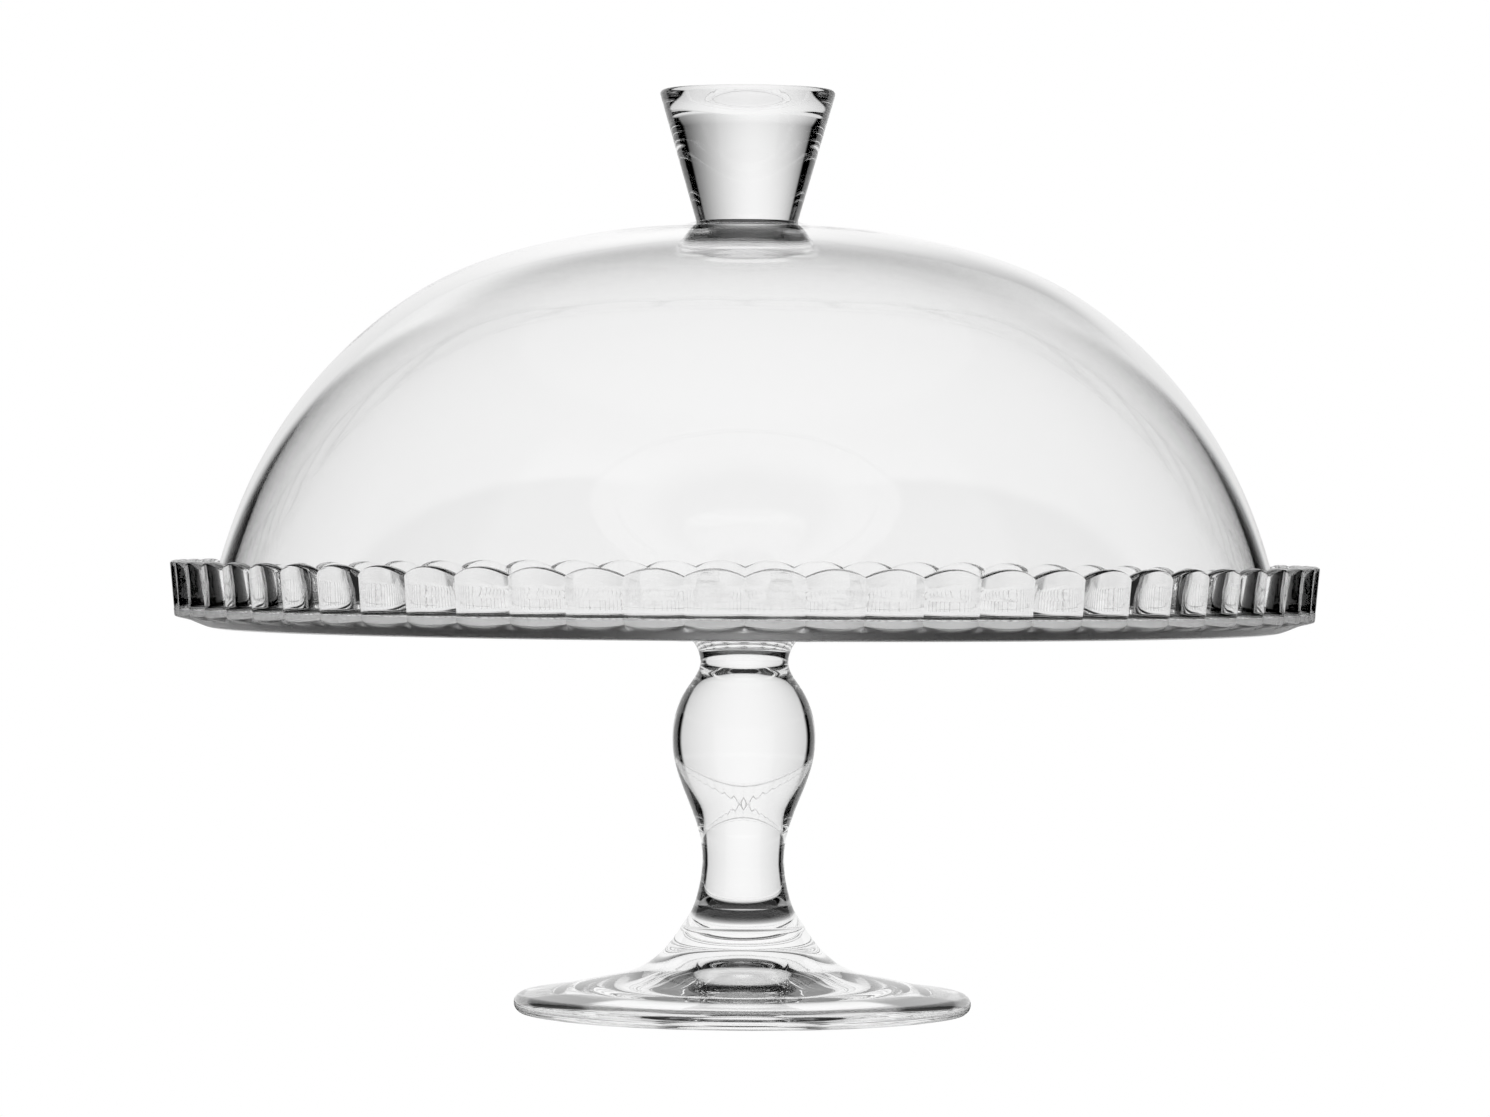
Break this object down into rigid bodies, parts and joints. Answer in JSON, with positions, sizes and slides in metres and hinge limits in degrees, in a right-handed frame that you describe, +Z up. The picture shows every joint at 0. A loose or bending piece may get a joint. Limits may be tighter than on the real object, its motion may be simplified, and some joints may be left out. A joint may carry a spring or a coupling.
{
  "type": "cake stand",
  "caption": "Clear pressed-glass cake plate on a turned stem and flared foot, with an upright petal rim and a lift-off glass dome with a flared knob.",
  "frame": {"origin": "centre of the foot's resting ring, on the surface that the stand rests on", "axes": "+Z up along the axis of the stem, the dome and the knob; the object is turned, so X and Y are any two level directions, with a valley between petals on each"},
  "size_m": [0.3216, 0.3216, 0.2591],
  "materials": {
    "stand_glass": "clear fire-polished",
    "petal_glass": "clear pressed petals",
    "lid_glass": "clear fire-polished"
  },
  "bodies": {
    "stand": {"foot": "stand_glass", "stem": "stand_glass", "plate": "petal_glass"},
    "lid": {"dome": "lid_glass", "knob": "lid_glass"}
  },
  "joints": [
    {"name": "lid_lift", "type": "slide", "parent": "stand", "child": "lid", "axis": [0, 0, 1], "range_m": [0, 0.12]}
  ]
}
